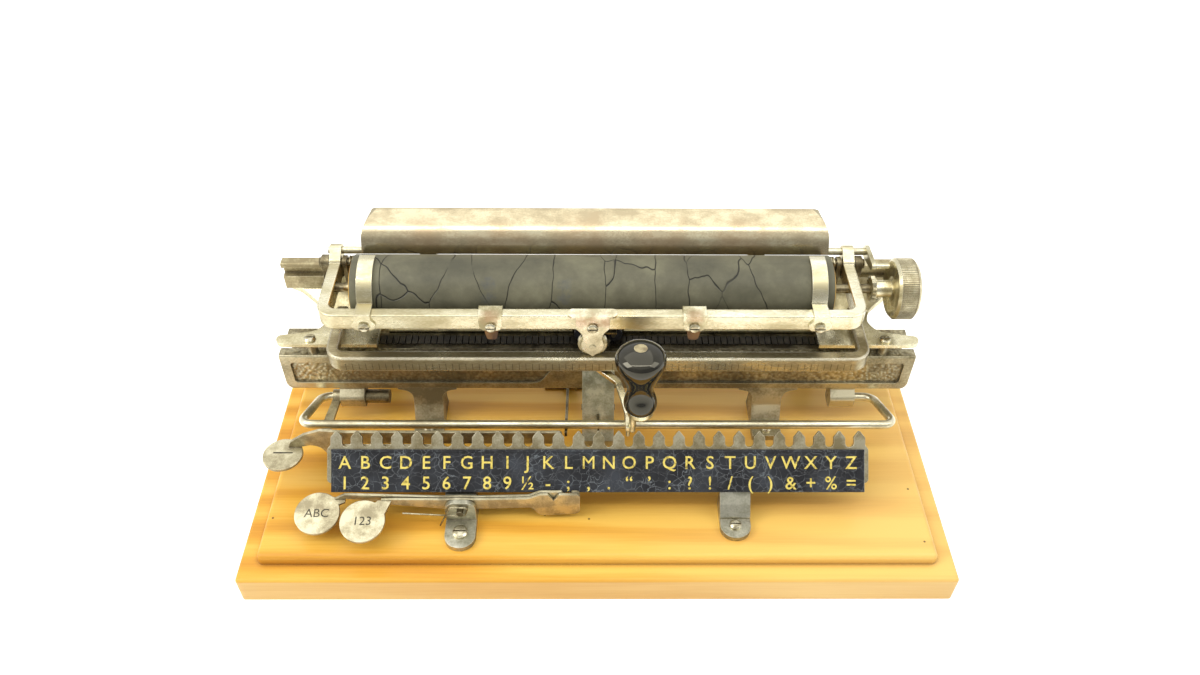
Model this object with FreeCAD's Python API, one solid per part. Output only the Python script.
import FreeCAD, Part
import math
import os

# Index typewriter on a wooden base.  Millimetres, +Z up, +X to the typist's right, +Y away from the typist.
# The origin is the centre of the underside of the base board.

# ---------------------------------------------------------------- clearances
RUN = 0.4                  # sliding fit between large castings
SLIP = 0.06                # radial running fit of shafts and screws
GAP = 0.3                  # parts that only pass each other

# ---------------------------------------------------------------- base board
BASE_LENGTH = 336.0
BASE_DEPTH = 164.0
BASE_THICKNESS = 16.1
PANEL_INSET = 8.8          # the ledge that a lid would stand on
PANEL_RISE = 5.95
LEDGE_ROUND = 1.6
PANEL_ROUND = 2.6
DECK = BASE_THICKNESS + PANEL_RISE

# ---------------------------------------------------------------- columns and types
COLUMNS = 26
PITCH = 9.525
TYPES_PER_COLUMN = 3
REST_COLUMN = 14
TYPE_PITCH = PITCH / TYPES_PER_COLUMN
TYPE_WIDTH = 2.7
TYPE_DEPTH = 5.6
TYPE_HEIGHT = 3.6
TYPE_STANDS = 0.5          # type faces above the rack rails
RACK_TIE = 1.2
RACK_END = RACK_TIE + 0.4  # rack beyond the outer columns
REST_X = (REST_COLUMN - (COLUMNS - 1) / 2) * PITCH

# ---------------------------------------------------------------- front rail, a trough for the type rack
RAIL_LENGTH = 315.0
RAIL_FRONT = 12.0
LEG_HEIGHT = 22.35
RAIL_HEIGHT = 23.9
FRONT_WALL = 6.0
BACK_WALL = 3.4
FLOOR_ABOVE = 7.9          # floor underside above the bottom edge of the front wall
FLOOR_THICKNESS = 3.3
BACK_WALL_HEIGHT = 10.4
RACK_DEPTH = 11.8
RAIL_BOTTOM = DECK + LEG_HEIGHT
RAIL_TOP = RAIL_BOTTOM + RAIL_HEIGHT
FLOOR_UNDER = RAIL_BOTTOM + FLOOR_ABOVE
FLOOR_TOP = FLOOR_UNDER + FLOOR_THICKNESS
FRONT_WALL_BACK = RAIL_FRONT + FRONT_WALL
RACK_FRONT = FRONT_WALL_BACK + RUN
RACK_BACK = RACK_FRONT + RACK_DEPTH
BACK_WALL_Y = RACK_BACK + RUN
TROUGH_BACK = BACK_WALL_Y + BACK_WALL
BACK_WALL_TOP = FLOOR_TOP + BACK_WALL_HEIGHT
RECESS_DEPTH = 1.2
RECESS_MARGIN = 4.7
RECESS_INNER_X = 21.5
LEG_X = 87.0
LEG_WIDTH = 15.0
LEG_FLARE = 8.0
LEG_FOOT = 3.45
LUG_INNER_X = 119.0
LUG_OUTER_X = 131.5
LUG_BACK = 18.0

# ---------------------------------------------------------------- end castings and rear rail
SLOT_HEIGHT = 6.1          # between the front rail and the keeper plates
KEEPER_THICKNESS = 2.2
KEEPER_INNER_X = 108.0
WAIST_X = 134.6
KEEPER_SCREW_X = 141.0
KEEPER_SCREW_Y = RAIL_FRONT + 3.4
KEEPER_SCREW_LENGTH = 13.0
BOSS_RADIUS = 2.6
KEEPER_UNDER = RAIL_TOP + SLOT_HEIGHT
KEEPER_TOP = KEEPER_UNDER + KEEPER_THICKNESS
REAR_FRONT = 45.4
REAR_DEPTH = 5.6
REAR_RISE = 6.4            # rear rail above the keeper plates
REAR_HEIGHT = 16.1
GROOVE_LIP = 8.2
GROOVE_HEIGHT = 5.4
GROOVE_DEPTH = 3.2
REAR_BACK = REAR_FRONT + REAR_DEPTH
REAR_BOTTOM = KEEPER_TOP + REAR_RISE
REAR_TOP = REAR_BOTTOM + REAR_HEIGHT
GROOVE_BOTTOM = REAR_BOTTOM + GROOVE_LIP
GROOVE_TOP = GROOVE_BOTTOM + GROOVE_HEIGHT
SHELF_THICKNESS = 3.5
REAR_LEG_X = 116.0
REAR_LEG_WIDTH = 12.0
REAR_LEG_FOOT = 3.0
REAR_LEG_FOOT_BACK = 62.0

# ---------------------------------------------------------------- scale rail, the thick U-shaped bar
BAR_THICKNESS = 5.5
BAR_HEIGHT = 8.7
BAR_BEND = 9.0
BAR_EDGE = 0.7
SCALE_HALF = 130.5
SCALE_Y = -2.15
SCALE_RISE = 4.4           # top of the bar above the keeper plates
SCALE_TOP = KEEPER_TOP + SCALE_RISE
SCALE_BACK = KEEPER_SCREW_Y + 19.1

# ---------------------------------------------------------------- carriage
CARRIAGE_X = -3.0
FRAME_HALF = 127.5
FRAME_Y = 0.2
FRAME_HEIGHT = 8.6
FRAME_DROP = 4.6           # underside of the frame below the platen axis
PLATEN_RADIUS = 15.9
PLATEN_CORE = 13.4
PLATEN_LENGTH = 2 * (FRAME_HALF - 15.0)
PLATEN_Y = RACK_FRONT + 5.9
PLATEN_LIFT = 35.5         # platen axis above the type faces
AXLE_RADIUS = 2.2
TYPE_FACE = FLOOR_TOP + 11.4
PLATEN_Z = TYPE_FACE + PLATEN_LIFT
FRAME_Z = PLATEN_Z - FRAME_DROP
FRAME_TOP = FRAME_Z + FRAME_HEIGHT
PIVOT_Y = REAR_FRONT - 4.4
PIVOT_RISE = 5.1           # carriage hinge above the rear rail
PIVOT_RADIUS = 2.0
PIVOT_EYE = 3.8
PIVOT_Z = REAR_TOP + PIVOT_RISE
LUG_THICKNESS = 3.5
TIE_ROD_RADIUS = 1.8
TIE_ROD_BACK = 4.4
TIE_ROD_RISE = 4.0
TIE_ROD_Y = PIVOT_Y + TIE_ROD_BACK
TIE_ROD_Z = PIVOT_Z + TIE_ROD_RISE
RACK_TOOTH = 2.54
RACK_TOOTH_DEPTH = 1.1
TABLE_RADIUS = 19.0
TABLE_THICKNESS = 0.8
TABLE_LENGTH = 2 * (FRAME_HALF - 14.0)
TABLE_X = -1.5
TABLE_Y = TIE_ROD_Y + 15.2
TABLE_Z = TIE_ROD_Z - 4.6
GUIDE_X = FRAME_HALF - 22.3
GUIDE_WIDTH = 7.3
GUIDE_GAP = 0.5
CLIP_X = 47.0
CLIP_WIDTH = 11.0
CLIP_PLATE = 1.0
BAR_SCREW_Z = FRAME_Z + 2.7
WHEEL_RADIUS = 7.0
WHEEL_WIDTH = 2.4
WHEEL_Y = FRAME_Y + 0.2
WHEEL_PIN = 1.3
WHEEL_Z = SCALE_TOP + WHEEL_RADIUS + GAP
POINTER_PLATE = 1.5
POINTER_DROP = 15.9        # pointer tip below the frame
RATCHET_RADIUS = 6.5
RATCHET_TEETH = 16
KNOB_RADIUS = 14.7
KNOB_LENGTH = 10.5
ROLLER_RADIUS = 3.5
ROLLER_ANGLE = -35.0
ROLLER_HALF = FRAME_HALF - 19.5
ROLLER_PIN = 1.2
ROLLER_Y = PLATEN_Y + (PLATEN_RADIUS + ROLLER_RADIUS + GAP) * math.cos(math.radians(ROLLER_ANGLE))
ROLLER_Z = PLATEN_Z + (PLATEN_RADIUS + ROLLER_RADIUS + GAP) * math.sin(math.radians(ROLLER_ANGLE))

# ---------------------------------------------------------------- index plate and comb on a 45 degree slope
INDEX_Y = -46.86
INDEX_RISE = 15.11
INDEX_WIDTH = 20.2
INDEX_THICKNESS = 2.6
INDEX_HALF = 125.4
COMB_THICKNESS = 1.8
COMB_GAP = 0.1
COMB_HALF = 128.0
COMB_LOW = 4.0
COMB_SLOT = 21.0
COMB_SHOULDER = 25.6
COMB_TIP = 28.9
SLOT_WIDTH = 4.1
SHIFT_GAP = 0.4
SHIFT_THICKNESS = 1.8
INDEX_FOOT_X = 65.0
FOOT_WIDTH = 14.5
FOOT_PAD = 3.0
FOOT_FRONT_LEFT = -70.0
FOOT_FRONT_RIGHT = -64.5
SLOPE_PLATE = 2.4
INDEX_SCREW_S = 10.0
INDEX_Z = DECK + INDEX_RISE
COMB_BACK = -COMB_GAP - COMB_THICKNESS
SHIFT_FRONT = COMB_BACK - SHIFT_GAP
SLOPE_TOP = COMB_BACK - GAP

# ---------------------------------------------------------------- shift keys
KEY_RADIUS = 10.5
CAPS_X, CAPS_DISC_Y, CAPS_RISE = -131.5, -56.5, 10.95
FIGS_X, FIGS_DISC_Y, FIGS_RISE = -109.5, -61.4, 11.7
SHIFT_END_X = -122.0
KEY_THICKNESS = 1.5
KEY_TILT = 12.0
LEVER_THICKNESS = 1.2
FIGS_Y = -51.8
CAPS_Y = FIGS_Y + LEVER_THICKNESS + RUN
SHIFT_PIN_RISE = 10.95
SHIFT_PIN_RADIUS = 1.6
SHIFT_PIN_Z = DECK + SHIFT_PIN_RISE
EAR_THICKNESS = 2.2

# ---------------------------------------------------------------- bail, space key and printing levers
BAIL_RADIUS = 2.1
BAIL_HALF = 145.7
BAIL_REAR_HALF = 141.5
BAIL_Y = -15.0
BAIL_RISE = 26.45
BAIL_BEND = 6.0
BAIL_PIVOT_Y = RAIL_FRONT + 1.0
BAIL_PIVOT_DROP = 6.4
BAIL_PIVOT_Z = RAIL_BOTTOM - BAIL_PIVOT_DROP
BAIL_Z = DECK + BAIL_RISE
BAIL_END_X = 124.3
SPACE_PIN_RADIUS = 1.6
SPACE_HUB = 3.6
SPACE_ARM_X = -131.9       # inner side of the space key's hub, beside the lug
SPACE_X = -151.6
SPACE_Y = -29.0
SPACE_RISE = 20.15
SPACE_RADIUS = 9.5
POST_HALF = 8.0
PRINT_PIN_RADIUS = 1.5
PRINT_PIVOT_Y = 3.0
PRINT_PIVOT_RISE = 18.95
PRINT_PIVOT_Z = DECK + PRINT_PIVOT_RISE
PRINT_LEVER_HALF = 0.5
LEVER_PLAY = 0.15          # beside a thin lever in its slot
LEVER_HUB = 3.0
PLUNGER_RADIUS = 1.8
PLUNGER_Y = RACK_FRONT + 4.0 + TYPE_DEPTH / 2
FEED_X = -15.9
SPACE_STRIP_END = FEED_X - 1.6     # the strip ends beside the feed lever
FEED_HALF = 0.6
FEED_PIVOT_Y = 36.0
FEED_PIVOT_RISE = 5.45
FEED_PIVOT_Z = DECK + FEED_PIVOT_RISE
FEED_ROD_RADIUS = 1.3
FEED_ROD_Y = REAR_FRONT + 1.5
FEED_EAR = 1.6
FEED_SPRING_X = FEED_X + 4.1
FEED_SPRING_Y = FEED_PIVOT_Y - 5.0

# ---------------------------------------------------------------- selector arm and handle
ARM_X = REST_X - 13.7
ARM_HALF = 3.3
ARM_TIP_HALF = 0.9
ARM_BEND_HALF = 1.3
ARM_THICKNESS = 2.4
HINGE_Y = RACK_FRONT + 2.0
HINGE_Z = RAIL_TOP + 3.3
HINGE_PIN_RADIUS = 1.1
HUB_RADIUS = 2.3
EAR_PLATE = 1.2
HANDLE_Y = -31.8
STEM_TIP_Z = 60.6
STEM_RADIUS = 1.6
STEM_X = REST_X + 1.15       # stem under the left side of the cup
STYLUS_X = REST_X - 0.8      # stylus against the left side of the stem
STYLUS_RADIUS = 0.85
CUP_LOW = 12.6              # heights above the handle's foot
CUP_HIGH = 16.4
CUP_RADIUS = 6.05
BALL_RADIUS = 11.65
HANDLE_SHIFT = 4.95        # handle foot to the right of the stylus
LEAN_Y = 4.8
LEAN_RISE = 40.9
HANDLE_LEAN_X = -1.1
PRESSER_X = STYLUS_X - 0.9   # under the narrow end of the arm
PRESSER_THICKNESS = 1.6

# ---------------------------------------------------------------- ink rollers
INK_X = 7.5
INK_RADIUS = 4.4
INK_LENGTH = 4.4
INK_PIN_RADIUS = 1.0
INK_RISE = 5.3             # roller axis above the type faces

SLOPE = math.sqrt(0.5)
RACK_TOP = TYPE_FACE - TYPE_STANDS
X_AXIS = FreeCAD.Vector(1, 0, 0)
Y_AXIS = FreeCAD.Vector(0, 1, 0)
Z_AXIS = FreeCAD.Vector(0, 0, 1)


# ================================================================ drawing helpers
def vec(x, y, z):
    return FreeCAD.Vector(x, y, z)


def box(x0, x1, y0, y1, z0, z1):
    return Part.makeBox(x1 - x0, y1 - y0, z1 - z0, vec(x0, y0, z0))


def rod_x(y, z, radius, x0, x1):
    return Part.makeCylinder(radius, x1 - x0, vec(x0, y, z), X_AXIS)


def rod_y(x, z, radius, y0, y1):
    return Part.makeCylinder(radius, y1 - y0, vec(x, y0, z), Y_AXIS)


def rod_z(x, y, radius, z0, z1):
    return Part.makeCylinder(radius, z1 - z0, vec(x, y, z0), Z_AXIS)


def mirrored(shape):
    return shape.mirror(vec(0, 0, 0), X_AXIS)


def union(*shapes):
    return shapes[0].fuse(list(shapes[1:])).removeSplitter()


def soften(shape, radius, wanted):
    """Round every edge whose bounding box satisfies wanted."""
    return shape.makeFillet(radius, [edge for edge in shape.Edges if wanted(edge.BoundBox)])


def rounded_face(corners, place):
    """A face through (a, b) or (a, b, radius) corners; place turns (a, b) into a point in space."""
    joins = []
    for i, corner in enumerate(corners):
        here = vec(corner[0], corner[1], 0)
        if len(corner) < 3:
            joins.append((here, None, here))
            continue
        before = corners[i - 1]
        after = corners[(i + 1) % len(corners)]
        to_before = (vec(before[0], before[1], 0) - here).normalize()
        to_after = (vec(after[0], after[1], 0) - here).normalize()
        half = to_before.getAngle(to_after) / 2
        reach = corner[2] / math.tan(half)
        inward = (to_before + to_after).normalize()
        middle = here + inward * (corner[2] / math.sin(half) - corner[2])
        joins.append((here + to_before * reach, middle, here + to_after * reach))
    edges = []
    for i, (start, middle, end) in enumerate(joins):
        if middle is not None:
            edges.append(Part.Arc(place(start.x, start.y), place(middle.x, middle.y), place(end.x, end.y)).toShape())
        following = joins[(i + 1) % len(joins)][0]
        if (following - end).Length > 1e-6:
            edges.append(Part.makeLine(place(end.x, end.y), place(following.x, following.y)))
    return Part.Face(Part.Wire(edges))


def plate_x(corners, x0, x1):
    """Extrude a (y, z) outline along X."""
    return rounded_face(corners, lambda a, b: vec(x0, a, b)).extrude(vec(x1 - x0, 0, 0))


def plate_y(corners, y0, y1):
    """Extrude an (x, z) outline along Y."""
    return rounded_face(corners, lambda a, b: vec(a, y0, b)).extrude(vec(0, y1 - y0, 0))


def plate_z(corners, z0, z1):
    """Extrude an (x, y) outline along Z."""
    return rounded_face(corners, lambda a, b: vec(a, b, z0)).extrude(vec(0, 0, z1 - z0))


def on_slope(s, n):
    """Y and Z of a point s up the index slope and n in front of it."""
    return INDEX_Y + (s - n) * SLOPE, INDEX_Z + (s + n) * SLOPE


def slope_plate(corners, n0, n1):
    """Extrude an (x, s) outline drawn on the index slope, from n0 to n1 in front of it."""
    def place(x, s):
        y, z = on_slope(s, n0)
        return vec(x, y, z)
    return rounded_face(corners, place).extrude(vec(0, -(n1 - n0) * SLOPE, (n1 - n0) * SLOPE))


def slope_bar(corners, x0, x1):
    """Extrude along X an outline given as (s, n) corners of the index slope."""
    return plate_x([on_slope(corner[0], corner[1]) + tuple(corner[2:]) for corner in corners], x0, x1)


def ribbon(points, halves):
    """Corners of a strip round a centre line, with half a width at each point."""
    left = []
    right = []
    for i, (a, b) in enumerate(points):
        before = points[max(i - 1, 0)]
        after = points[min(i + 1, len(points) - 1)]
        ahead = vec(after[0] - a, after[1] - b, 0) if i < len(points) - 1 else vec(a - before[0], b - before[1], 0)
        behind = vec(a - before[0], b - before[1], 0) if i > 0 else ahead
        mean = (ahead.normalize() + behind.normalize()).normalize()
        offset = halves[i] / mean.dot(ahead)
        left.append((a - mean.y * offset, b + mean.x * offset))
        right.append((a + mean.y * offset, b - mean.x * offset))
    return left + right[::-1]


def lathe(profile, base, axis):
    """Turn (radius, height) corners round an axis that starts at base."""
    turned = rounded_face(profile, lambda a, b: vec(a, 0, b)).revolve(vec(0, 0, 0), Z_AXIS, 360)
    turned.Placement = FreeCAD.Placement(base, FreeCAD.Rotation(Z_AXIS, axis))
    return turned


def link(first, second, x0, x1):
    """A flat link across X between two (y, z, radius) eyes, with tangent sides."""
    y1, z1, r1 = first
    y2, z2, r2 = second
    heading = math.atan2(z2 - z1, y2 - y1)
    spread = math.acos((r1 - r2) / math.hypot(y2 - y1, z2 - z1))
    web = []
    for y, z, radius, sign in ((y1, z1, r1, 1), (y2, z2, r2, 1), (y2, z2, r2, -1), (y1, z1, r1, -1)):
        angle = heading + sign * spread
        web.append((y + radius * math.cos(angle), z + radius * math.sin(angle)))
    return union(plate_x(web, x0, x1), rod_x(y1, z1, r1, x0, x1), rod_x(y2, z2, r2, x0, x1))


def bent_wire(points, bend, radius):
    """Round wire along straight runs, with tangent arcs at the inner points."""
    edges = []
    start = points[0]
    for i in range(1, len(points) - 1):
        here = points[i]
        to_before = (points[i - 1] - here).normalize()
        to_after = (points[i + 1] - here).normalize()
        half = to_before.getAngle(to_after) / 2
        middle = here + (to_before + to_after).normalize() * (bend / math.sin(half) - bend)
        arc_start = here + to_before * (bend / math.tan(half))
        arc_end = here + to_after * (bend / math.tan(half))
        edges.append(Part.makeLine(start, arc_start))
        edges.append(Part.Arc(arc_start, middle, arc_end).toShape())
        start = arc_end
    edges.append(Part.makeLine(start, points[-1]))
    section = Part.Wire(Part.makeCircle(radius, points[0], (points[1] - points[0]).normalize()))
    return Part.Wire(edges).makePipeShell([section], True, True)


def coil(base, axis, radius, wire, turns, pitch):
    """A helical spring whose axis starts at base."""
    section = Part.Wire(Part.makeCircle(wire, vec(radius, 0, 0), Y_AXIS))
    spring = Part.Wire(Part.makeHelix(pitch, pitch * turns, radius)).makePipeShell([section], True, True)
    spring.Placement = FreeCAD.Placement(base, FreeCAD.Rotation(Z_AXIS, axis))
    return spring


def screw(seat, axis, head_radius, head_height, shank_radius, shank_length):
    """A slotted screw; axis points out of the head, seat is the middle of the surface under the head."""
    profile = [(0, -shank_length), (shank_radius, -shank_length), (shank_radius, 0), (head_radius, 0),
               (head_radius, head_height * 0.6), (head_radius * 0.75, head_height), (0, head_height)]
    turned = rounded_face(profile, lambda a, b: vec(a, 0, b)).revolve(vec(0, 0, 0), Z_AXIS, 360)
    slot = box(-head_radius, head_radius, -0.35, 0.35, head_height * 0.5, head_height + 1)
    made = turned.cut(slot)
    made.Placement = FreeCAD.Placement(seat, FreeCAD.Rotation(Z_AXIS, axis))
    return made


def drill(seat, axis, radius, depth):
    """The clearance hole for a screw or pin that goes depth below seat, against axis."""
    return Part.makeCylinder(radius + SLIP, depth + 1.0 + GAP, seat + axis * 1.0, axis * -1)


# ================================================================ screws and where they sit
def base_screw_seats():
    """Screws into the board: seat and head radius."""
    return [(vec(-LEG_X, 1.5, DECK + LEG_FOOT), 2.6), (vec(LEG_X, 1.5, DECK + LEG_FOOT), 2.6),
            (vec(-INDEX_FOOT_X, -61.6, DECK + FOOT_PAD), 3.6), (vec(INDEX_FOOT_X, -57.6, DECK + FOOT_PAD), 2.8),
            (vec(-REAR_LEG_X, 57.0, DECK + REAR_LEG_FOOT), 2.8), (vec(REAR_LEG_X, 57.0, DECK + REAR_LEG_FOOT), 2.8),
            (vec(FEED_X - 9.0, FEED_PIVOT_Y + 1.0, DECK + 2.0), 2.0), (vec(FEED_X + 9.0, FEED_PIVOT_Y + 1.0, DECK + 2.0), 2.0)]


def base_screws():
    return Part.makeCompound([screw(seat, Z_AXIS, head, 1.7, 1.5, 12.0) for seat, head in base_screw_seats()])


def cut_base_screws(shape):
    return shape.cut([drill(seat, Z_AXIS, 1.5, 12.0) for seat, head in base_screw_seats()])


def frame_screw_list():
    """Screws of the metal frame: seat, axis, head radius, shank radius and length."""
    found = []
    for side in (-1, 1):
        found.append((vec(side * KEEPER_SCREW_X, KEEPER_SCREW_Y, KEEPER_TOP), Z_AXIS, 2.75, 1.5, KEEPER_SCREW_LENGTH))
        bar_middle = side * (SCALE_HALF - BAR_THICKNESS / 2)
        found.append((vec(bar_middle, SCALE_BACK - 4.0, SCALE_TOP), Z_AXIS, 2.2, 1.2, SCALE_RISE + 1.8))
        found.append((vec(side * (KEEPER_SCREW_X - 1.0), REAR_BACK - 2.3, REAR_BOTTOM - SHELF_THICKNESS),
                      Z_AXIS * -1, 1.9, 1.1, SHELF_THICKNESS + 5.0))
    return found


def frame_screws():
    return Part.makeCompound([screw(seat, axis, head, 1.6, shank, length)
                              for seat, axis, head, shank, length in frame_screw_list()])


def cut_frame_screws(shape):
    return shape.cut([drill(seat, axis, shank, length) for seat, axis, head, shank, length in frame_screw_list()])


# ================================================================ base and frame
def base_board():
    half_x = BASE_LENGTH / 2
    half_y = BASE_DEPTH / 2
    slab = soften(box(-half_x, half_x, -half_y, half_y, 0, BASE_THICKNESS), LEDGE_ROUND,
                  lambda b: b.ZMax > BASE_THICKNESS - 0.01)
    panel_x = half_x - PANEL_INSET
    panel_y = half_y - PANEL_INSET
    panel = soften(box(-panel_x, panel_x, -panel_y, panel_y, BASE_THICKNESS - 1.0, DECK), PANEL_ROUND,
                   lambda b: b.ZMax > DECK - 0.01)
    return cut_base_screws(union(slab, panel))


def rail_leg(x):
    """One leg, cut from its side view and its front view."""
    side = plate_x([(RAIL_FRONT, RAIL_BOTTOM + 1), (RAIL_FRONT + 8, RAIL_BOTTOM + 1), (22, 28, 6), (24, DECK),
                    (-3, DECK), (-3, DECK + LEG_FOOT), (6, DECK + LEG_FOOT, 3), (10, 35, 8)],
                   x - LEG_WIDTH, x + LEG_WIDTH)
    half = LEG_WIDTH / 2
    wide = half + LEG_FLARE
    front = plate_y([(x - half, DECK), (x - half, RAIL_BOTTOM - 1.5, 5), (x - wide, RAIL_BOTTOM + 0.2),
                     (x - wide, RAIL_BOTTOM + 1), (x + wide, RAIL_BOTTOM + 1), (x + wide, RAIL_BOTTOM + 0.2),
                     (x + half, RAIL_BOTTOM - 1.5, 5), (x + half, DECK)], -5, 26)
    return side.common(front)


def rail_lug(side):
    """The bearing for the bail under one end of the front rail."""
    x0, x1 = sorted((side * LUG_INNER_X, side * LUG_OUTER_X))
    return plate_x([(LUG_BACK, RAIL_BOTTOM + 1), (LUG_BACK, BAIL_PIVOT_Z - 4.2, 3), (BAIL_PIVOT_Y - 5, BAIL_PIVOT_Z - 4.2, 3),
                    (BAIL_PIVOT_Y - 5, BAIL_PIVOT_Z + 3, 3), (RAIL_FRONT, RAIL_BOTTOM), (RAIL_FRONT, RAIL_BOTTOM + 1)], x0, x1)


def front_rail():
    half = RAIL_LENGTH / 2
    trough = plate_x([(RAIL_FRONT, RAIL_BOTTOM, 1.4), (RAIL_FRONT, RAIL_TOP, 1.0), (FRONT_WALL_BACK, RAIL_TOP, 0.6),
                      (FRONT_WALL_BACK, FLOOR_TOP), (BACK_WALL_Y, FLOOR_TOP), (BACK_WALL_Y, BACK_WALL_TOP),
                      (TROUGH_BACK, BACK_WALL_TOP), (TROUGH_BACK, FLOOR_UNDER), (FRONT_WALL_BACK, FLOOR_UNDER),
                      (FRONT_WALL_BACK, RAIL_BOTTOM)], -half, half)
    ends = plate_y([(-half, RAIL_TOP + 1), (-half, RAIL_BOTTOM, 5), (half, RAIL_BOTTOM, 5), (half, RAIL_TOP + 1)],
                   RAIL_FRONT - 1, TROUGH_BACK + 1)
    low = RAIL_BOTTOM + RECESS_MARGIN
    high = RAIL_TOP - RECESS_MARGIN
    outer = half - RECESS_MARGIN
    left = plate_y([(-outer, low, 2), (-RECESS_INNER_X - 8, low, 7), (-RECESS_INNER_X + 1, high, 1.5), (-outer, high, 2)],
                   RAIL_FRONT - 1, RAIL_FRONT + RECESS_DEPTH)
    right = plate_y([(RECESS_INNER_X, low, 3), (outer, low, 2), (outer, high, 2), (RECESS_INNER_X, high, 3)],
                    RAIL_FRONT - 1, RAIL_FRONT + RECESS_DEPTH)
    rail = union(trough.common(ends), rail_leg(-LEG_X), rail_leg(LEG_X), rail_lug(-1), rail_lug(1),
                 rod_z(-KEEPER_SCREW_X, KEEPER_SCREW_Y, BOSS_RADIUS, RAIL_TOP - 1, KEEPER_UNDER),
                 rod_z(KEEPER_SCREW_X, KEEPER_SCREW_Y, BOSS_RADIUS, RAIL_TOP - 1, KEEPER_UNDER))
    lever_way = PRINT_LEVER_HALF + LEVER_PLAY
    rail = rail.cut([left, right,
                     rod_z(0, PLUNGER_Y, PLUNGER_RADIUS + SLIP, FLOOR_UNDER - 1, FLOOR_TOP + 1),
                     box(-lever_way, lever_way, RAIL_FRONT - 1, FRONT_WALL_BACK + 1, RAIL_BOTTOM - 1, FLOOR_UNDER),
                     rod_x(BAIL_PIVOT_Y, BAIL_PIVOT_Z, BAIL_RADIUS + SLIP, -LUG_OUTER_X - 1, -BAIL_END_X + GAP),
                     rod_x(BAIL_PIVOT_Y, BAIL_PIVOT_Z, BAIL_RADIUS + SLIP, BAIL_END_X - GAP, LUG_OUTER_X + 1),
                     rod_x(BAIL_PIVOT_Y, BAIL_PIVOT_Z, SPACE_PIN_RADIUS + SLIP, -BAIL_END_X + 1.6, -LUG_INNER_X + 1)])
    return cut_base_screws(cut_frame_screws(rail))


def end_casting_right():
    half = RAIL_LENGTH / 2
    side = plate_x([(RAIL_FRONT - 1, KEEPER_UNDER), (RAIL_FRONT - 1, KEEPER_TOP), (SCALE_BACK + 2.0, KEEPER_TOP, 3),
                    (REAR_FRONT + 0.2, REAR_BOTTOM, 1), (REAR_BACK, REAR_BOTTOM), (REAR_BACK, REAR_BOTTOM - SHELF_THICKNESS),
                    (REAR_FRONT + 1.1, REAR_BOTTOM - SHELF_THICKNESS, 1), (SCALE_BACK + 3.0, KEEPER_UNDER, 3)],
                   KEEPER_INNER_X, half)
    plan = plate_z([(KEEPER_INNER_X, RAIL_FRONT), (half, RAIL_FRONT, 4), (half, RAIL_FRONT + 6, 2),
                    (WAIST_X + 3.5, RAIL_FRONT + 9.5, 9), (WAIST_X, RAIL_FRONT + 17, 6), (WAIST_X + 2.5, 37, 8),
                    (half - 7.5, REAR_FRONT + 0.6, 6), (half, REAR_BACK - 1), (half, REAR_BACK + 1),
                    (KEEPER_INNER_X, REAR_BACK + 1)], KEEPER_UNDER - 1, REAR_TOP)
    flange = box(KEEPER_INNER_X + 4, WAIST_X - 2.6, BACK_WALL_Y + RUN, TROUGH_BACK, BACK_WALL_TOP, KEEPER_UNDER + 1)
    return cut_frame_screws(union(side.common(plan), flange))


def rear_rail():
    half = RAIL_LENGTH / 2
    rail = plate_x([(REAR_FRONT, REAR_BOTTOM, 0.6), (REAR_BACK, REAR_BOTTOM, 0.6), (REAR_BACK, REAR_TOP, 0.8),
                    (REAR_FRONT, REAR_TOP, 0.8), (REAR_FRONT, GROOVE_TOP), (REAR_FRONT + GROOVE_DEPTH, GROOVE_TOP),
                    (REAR_FRONT + GROOVE_DEPTH, GROOVE_BOTTOM), (REAR_FRONT, GROOVE_BOTTOM)], -half, half)
    rod_way = rod_z(FEED_X, FEED_ROD_Y, FEED_ROD_RADIUS + SLIP, REAR_BOTTOM - 1, GROOVE_BOTTOM + 1)
    return cut_frame_screws(rail.cut(rod_way))


def rear_leg(x):
    half = REAR_LEG_WIDTH / 2
    top = REAR_BOTTOM - SHELF_THICKNESS
    leg = plate_x([(REAR_FRONT + 1.4, DECK), (REAR_LEG_FOOT_BACK, DECK), (REAR_LEG_FOOT_BACK, DECK + REAR_LEG_FOOT, 1),
                   (REAR_BACK, DECK + REAR_LEG_FOOT, 3), (REAR_BACK, top), (REAR_FRONT + 1.4, top)], x - half, x + half)
    return cut_base_screws(leg)


def rear_legs():
    return Part.makeCompound([rear_leg(-REAR_LEG_X), rear_leg(REAR_LEG_X)])


def scale_rail_bar():
    inner = SCALE_HALF - BAR_THICKNESS
    front = SCALE_Y
    inside = SCALE_Y + BAR_THICKNESS
    low = SCALE_TOP - BAR_HEIGHT
    bar = plate_z([(-SCALE_HALF, SCALE_BACK), (-SCALE_HALF, front, BAR_BEND), (SCALE_HALF, front, BAR_BEND),
                   (SCALE_HALF, SCALE_BACK), (inner, SCALE_BACK), (inner, inside, BAR_BEND - BAR_THICKNESS),
                   (-inner, inside, BAR_BEND - BAR_THICKNESS), (-inner, SCALE_BACK)], low, SCALE_TOP)
    bar = soften(bar, BAR_EDGE, lambda b: b.ZLength < 0.01 and b.YMin < SCALE_BACK - 1)
    return cut_frame_screws(bar.cut(box(-SCALE_HALF - 1, SCALE_HALF + 1, inside + 1.2, SCALE_BACK + 1, low - 1, KEEPER_TOP)))


def rack_guide_strip():
    return box(-106, 110, BACK_WALL_Y, BACK_WALL_Y + 3.0, BACK_WALL_TOP, BACK_WALL_TOP + 2.0)


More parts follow.
